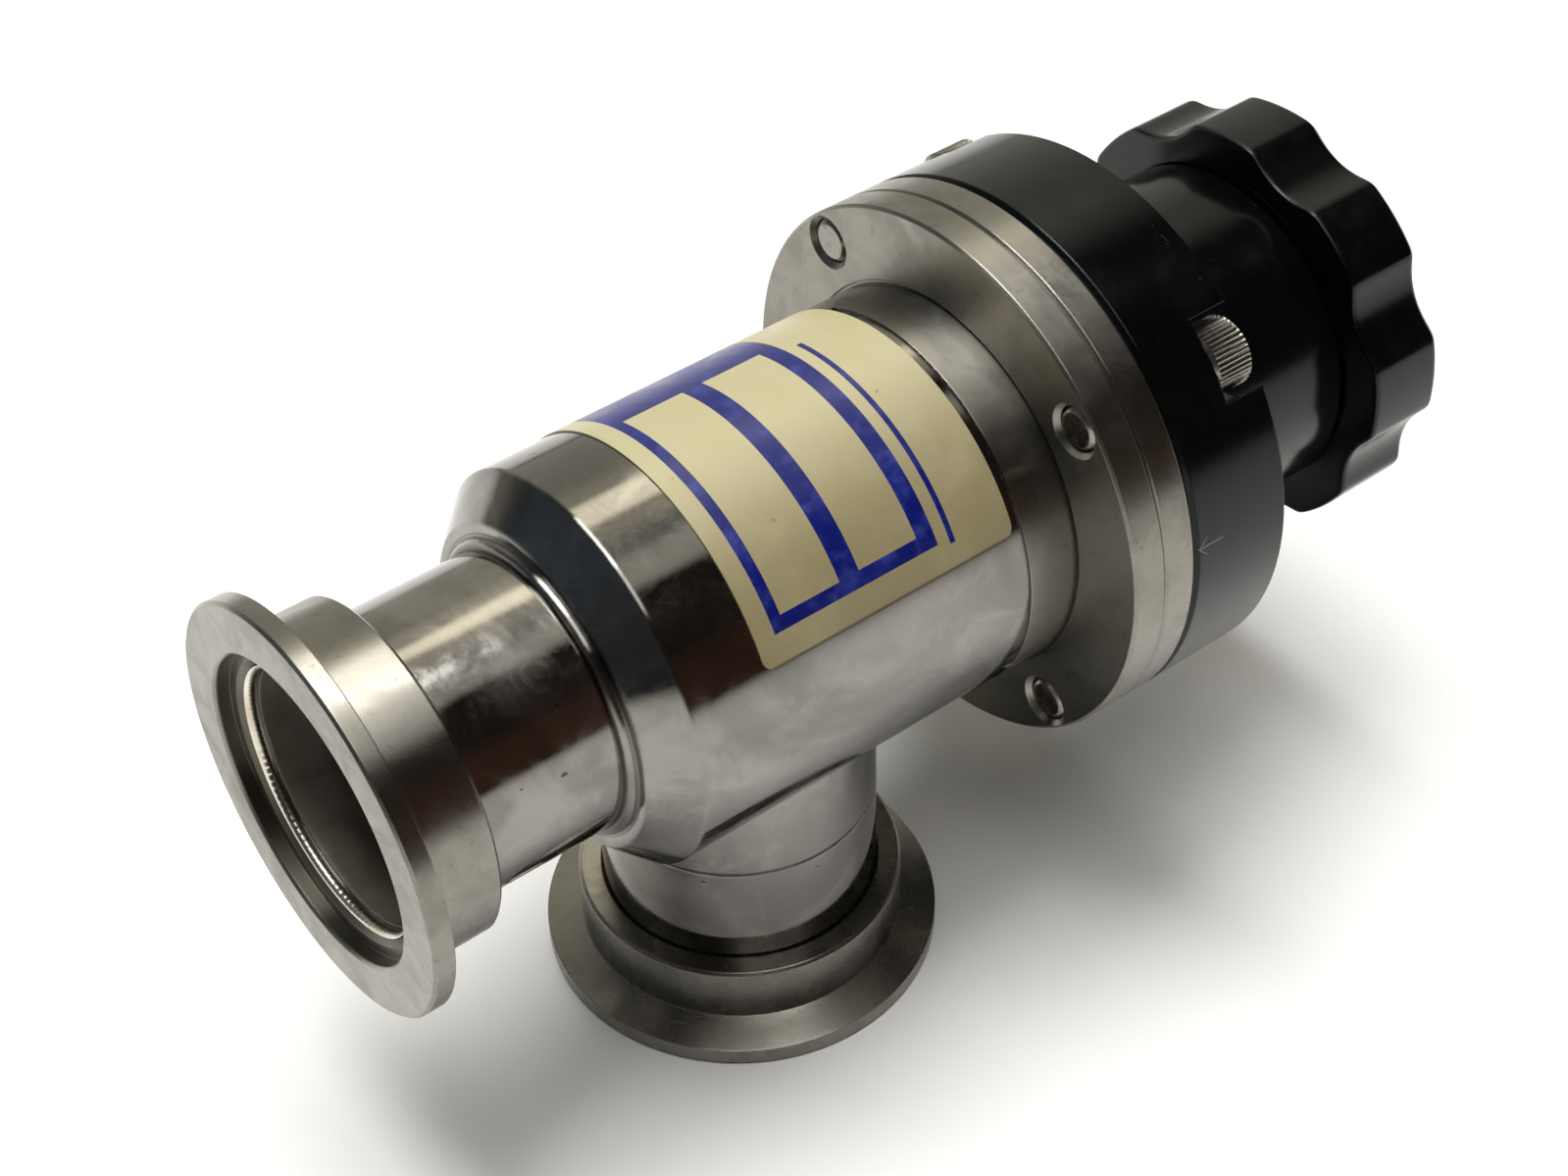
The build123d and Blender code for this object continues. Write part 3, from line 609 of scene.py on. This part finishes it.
def make_port_weld(name, place):
    """A rippled bead where the tube ends inside the flange."""
    builder = bmesh.new()
    profile = []
    for index in range(bead_points):
        turn = math.pi * (index / (bead_points - 1))
        profile.append((bead_along + bead_size * math.cos(turn), bead_r + 0.35 * MM - bead_size * 0.62 * math.sin(turn)))

    def ripple(index, angle):
        middle = math.sin(math.pi * index / (bead_points - 1))
        lag = 0.9 * (index - (bead_points - 1) / 2) ** 2 / 6
        wave = (bead_ripples * angle + lag) / (2 * math.pi) % 1.0
        uneven = 0.5 + 0.5 * math.sin(3 * angle + 1.1) * math.sin(7 * angle)
        return -middle * (0.05 + 0.09 * wave * (0.6 + 0.4 * uneven)) * MM

    add_lathe(builder, profile, bead_ripples * 6, place, shift=ripple)
    bmesh.ops.recalc_face_normals(builder, faces=builder.faces)
    return new_piece(name, builder, [weld_metal], "valve", 60)


make_port_weld("inlet_weld", inlet_place())
make_port_weld("outlet_weld", outlet_place())

# Cap screws with knurled heads
screw_circle_r = 33.9 * MM
screw_first_deg = 47.5
screw_size_r = 3.175 * MM
screw_head_r = screw_size_r * 1.5
screw_shank_r = screw_size_r - 0.04 * MM
screw_tip_x = screws_low.x
screw_head_end = screws_high.x
screw_head_start = screw_head_end - screw_size_r * 2
knurl_teeth = 40
knurl_depth = 0.2 * MM
key_r = screw_head_r / math.sqrt(3)
key_depth = 3.0 * MM


def add_knurled_head(builder, place):
    """Head with straight knurling round its side and plain chamfers."""
    chamfer = 0.45 * MM
    profile = [
        (screw_head_start, screw_shank_r),
        (screw_head_start, screw_head_r - chamfer),
        (screw_head_start + chamfer, screw_head_r),
        (screw_head_start + chamfer * 1.6, screw_head_r),
        (screw_head_end - chamfer * 1.6, screw_head_r),
        (screw_head_end - chamfer, screw_head_r),
        (screw_head_end - chamfer * 0.3, screw_head_r - chamfer * 0.75),
        (screw_head_end, screw_head_r - chamfer * 1.3),
        (screw_head_end, key_r * 1.02),
    ]

    def knurl(index, angle):
        if index not in (3, 4):
            return 0.0
        wave = abs((knurl_teeth * angle / (2 * math.pi)) % 1.0 - 0.5) * 2
        return -knurl_depth * (1 - wave) ** 1.4

    return add_lathe(builder, profile, knurl_teeth * 6, place, shift=knurl)


def add_key_socket(builder, rim, place):
    """Six-sided key socket sunk in the head."""
    corners = 6
    steps = len(rim)
    mouth = []
    floor = []
    for step in range(steps):
        angle = 2 * math.pi * step / steps
        part = (angle % (2 * math.pi / corners)) - math.pi / corners
        reach = key_r * math.cos(math.pi / corners) / math.cos(part)
        for ring, x in ((mouth, screw_head_end), (floor, screw_head_end - key_depth)):
            ring.append(builder.verts.new(place @ Vector((x, reach * math.cos(angle), reach * math.sin(angle)))))
    for near, far in ((rim, mouth), (mouth, floor)):
        for step in range(steps):
            after = (step + 1) % steps
            builder.faces.new((near[step], near[after], far[after], far[step]))
    builder.faces.new(floor)


def add_screw_end(builder, place):
    """Shank and the chamfered, slightly domed end that shows in the flange."""
    profile = [
        (screw_head_start, screw_shank_r),
        (screw_tip_x + 0.68 * MM, screw_shank_r),
        (screw_tip_x + 0.06 * MM, screw_shank_r - 0.62 * MM),
        (screw_tip_x + 0.01 * MM, screw_shank_r - 0.78 * MM),
        (screw_tip_x, screw_shank_r - 1.2 * MM),
        (screw_tip_x + 0.12 * MM, 0.05 * MM),
    ]
    rings = add_lathe(builder, profile, 72, place)
    builder.faces.new(rings[-1])


def make_cap_screws():
    builder = bmesh.new()
    for index in range(4):
        angle = math.radians(screw_first_deg + 90 * index)
        place = main_place(screw_circle_r * math.cos(angle), screw_circle_r * math.sin(angle))
        rings = add_knurled_head(builder, place)
        add_key_socket(builder, rings[-1], place)
        add_screw_end(builder, place)
    bmesh.ops.recalc_face_normals(builder, faces=builder.faces)
    piece = new_piece("knurled_screws", builder, [bright_screw], "valve", 28)
    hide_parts("cap_screws")
    return piece


make_cap_screws()


# Knob: a fluted disc with rounded lobes, a recess round its hub and a counterbore for its screw
knob_low, knob_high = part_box("knob")
knob_r = knob_high.z - axis_z
knob_lobes = 8
knob_lobe_turn_deg = 39.3
flute_r = 11.4 * MM
flute_floor_r = knob_r - 2.2 * MM
lobe_softness = 0.38 * MM
knob_recess_r = flute_floor_r - 6.8 * MM
knob_recess_depth = 6.0 * MM
knob_counterbore_r = 8.0 * MM
knob_hub_r = knob_counterbore_r + 1.5 * MM
knob_bore_r = 5.03 * MM
knob_seat_x = knob_high.x - 4.6 * MM


def knob_outline_r(angle):
    """Radius of the fluted outline, with the corners beside each flute rounded."""
    pitch = 2 * math.pi / knob_lobes
    from_flute = (angle - math.radians(knob_lobe_turn_deg)) % pitch - pitch / 2
    flute_centre_r = flute_floor_r + flute_r
    sideways = flute_centre_r * math.sin(from_flute)
    if abs(sideways) > flute_r * 0.98:
        return knob_r
    near_side = flute_centre_r * math.cos(from_flute) - math.sqrt(flute_r**2 - sideways**2)
    both = math.exp(-knob_r / lobe_softness) + math.exp(-near_side / lobe_softness)
    return -lobe_softness * math.log(both)


def make_knob():
    front = knob_low.x
    back = knob_high.x
    inner_front = [
        (front, knob_bore_r),
        (front, knob_hub_r - 0.2 * MM),
        (front + 0.2 * MM, knob_hub_r),
        (front + knob_recess_depth, knob_hub_r),
        (front + knob_recess_depth, knob_recess_r),
        (front + 0.25 * MM, knob_recess_r),
        (front, knob_recess_r + 0.25 * MM),
    ]
    outline = [
        (front, knob_r - 0.80 * MM),
        (front, knob_r - 0.50 * MM),
        (front + 0.14 * MM, knob_r - 0.15 * MM),
        (front + 0.50 * MM, knob_r),
        (front + 0.80 * MM, knob_r),
        (back - 1.75 * MM, knob_r),
        (back - 1.45 * MM, knob_r),
        (back - 1.10 * MM, knob_r - 0.10 * MM),
        (back - 0.16 * MM, knob_r - 1.02 * MM),
        (back, knob_r - 1.40 * MM),
        (back, knob_r - 1.80 * MM),
    ]
    inner_back = [
        (back, knob_counterbore_r + 0.3 * MM),
        (back - 0.3 * MM, knob_counterbore_r),
        (knob_seat_x, knob_counterbore_r),
        (knob_seat_x, knob_bore_r),
    ]
    fluted = range(len(inner_front), len(inner_front) + len(outline))

    def flute(index, angle):
        return knob_outline_r(angle) - knob_r if index in fluted else 0.0

    builder = bmesh.new()
    add_lathe(builder, inner_front + outline + inner_back, knob_lobes * 60, main_place(), closed=True, shift=flute)
    bmesh.ops.recalc_face_normals(builder, faces=builder.faces)
    piece = new_piece("fluted_knob", builder, [knob_black], "hand_knob")
    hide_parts("knob")
    return piece


make_knob()


def make_bellows():
    """Smooth convolutions between two plain cuffs.

    The cuffs are long enough to cover the hubs inside them when they are folded.
    """
    waves = 12
    crest_r = 18.4 * MM
    root_r = 13.5 * MM
    cuff_r = 14.85 * MM
    cuff = 5.0 * MM
    start = bellows_low.x + cuff
    end = bellows_high.x - cuff
    points_per_wave = 14
    profile = [(bellows_low.x, cuff_r - 0.3 * MM), (bellows_low.x, cuff_r), (start - 0.4 * MM, cuff_r)]
    total = waves * points_per_wave
    for index in range(total + 1):
        turn = 2 * math.pi * index / points_per_wave
        swing = math.tanh(1.6 * math.cos(turn)) / math.tanh(1.6)
        radius = (crest_r + root_r) / 2 - (crest_r - root_r) / 2 * swing
        profile.append((start + (end - start) * index / total, radius))
    profile += [(end + 0.4 * MM, cuff_r), (bellows_high.x, cuff_r), (bellows_high.x, cuff_r - 0.3 * MM)]
    builder = bmesh.new()
    add_lathe(builder, profile, 96, main_place())
    bmesh.ops.recalc_face_normals(builder, faces=builder.faces)
    piece = new_piece("bellows_skin", builder, [plain_steel], "valve", 50)
    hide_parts("bellows")
    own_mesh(piece)
    return piece


make_bellows()


def make_floor():
    builder = bmesh.new()
    bmesh.ops.create_circle(builder, cap_ends=True, radius=6.0, segments=96)
    mesh = bpy.data.meshes.new("floor")
    builder.to_mesh(mesh)
    builder.free()
    mesh.materials.append(floor_paint("floor_paint"))
    floor = bpy.data.objects.new("floor", mesh)
    bpy.context.scene.collection.objects.link(floor)


make_floor()


def direction(azimuth_deg, elevation_deg):
    """Unit vector; azimuth runs from +X towards +Y."""
    azimuth = math.radians(azimuth_deg)
    elevation = math.radians(elevation_deg)
    flat = math.cos(elevation)
    return Vector((flat * math.cos(azimuth), flat * math.sin(azimuth), math.sin(elevation)))


# The room: azimuth, elevation, inner and outer half angle in degrees, light
DARK_ROOM = (0.032, 0.025, 0.021, 1)
ROOM_PATCHES = (
    (150, 24, 12, 48, (0.10, 0.125, 0.15, 1)),
    (-176, 5, 10, 34, (0.06, 0.065, 0.075, 1)),
    (-80, 8, 10, 30, (0.085, 0.042, 0.028, 1)),
    (68, 10, 24, 54, (0.60, 0.58, 0.50, 1)),
    (20, 90, 18, 31, (0.62, 0.63, 0.60, 1)),
    (50, 56, 8, 24, (0.95, 0.91, 0.75, 1)),
    (46, 53, 4, 9, (3.2, 3.0, 2.4, 1)),
    (-24, 62, 4, 11, (0.7, 0.68, 0.60, 1)),
)


def make_world():
    """A dim studio with a lit wall behind the valve and a pale ceiling."""
    world = bpy.data.worlds.new("studio")
    bpy.context.scene.world = world
    world.use_nodes = True
    g = Graph("studio", world)
    way = g.vector_math("NORMALIZE", g.add("ShaderNodeTexCoord").outputs["Generated"])
    colour = DARK_ROOM
    for azimuth, elevation, inner, outer, light in ROOM_PATCHES:
        towards = g.vector_math("DOT_PRODUCT", way, tuple(direction(azimuth, elevation)))
        near = g.remap(towards, math.cos(math.radians(outer)), math.cos(math.radians(inner)))
        colour = g.mix(near, colour, light)
    background = g.add("ShaderNodeBackground", {"Color": colour, "Strength": 1.0})
    g.add("ShaderNodeOutputWorld", {"Surface": background.outputs[0]})


make_world()


def add_softbox(name, azimuth, elevation, distance, size, power, colour):
    """A square softbox aimed at the valve."""
    lamp = bpy.data.lights.new(name, "AREA")
    lamp.shape = "SQUARE"
    lamp.size = size
    lamp.energy = power
    lamp.color = colour
    box = bpy.data.objects.new(name, lamp)
    aim = Vector((0.015, 0, 0.05))
    way = direction(azimuth, elevation)
    box.location = aim + way * distance
    box.rotation_euler = way.to_track_quat("Z", "Y").to_euler()
    bpy.context.scene.collection.objects.link(box)
    return box


add_softbox("key", 105, 80, 1.6, 0.9, 27.0, (1.0, 0.985, 0.96))
add_softbox("fill", -100, 72, 1.6, 0.9, 7.5, (1.0, 0.985, 0.96))

# Camera at the photograph's viewing angle
camera_data = bpy.data.cameras.new("camera")
camera_data.sensor_width = 36.0
camera_data.lens = 63.44
camera_data.clip_start = 0.01
camera = bpy.data.objects.new("camera", camera_data)
camera.location = (-0.15325, -0.21158, 0.29986)
camera.rotation_euler = (math.radians(47.677), math.radians(0.950), math.radians(-38.326))
bpy.context.scene.collection.objects.link(camera)
bpy.context.scene.camera = camera

bpy.context.scene.view_settings.view_transform = "Standard"
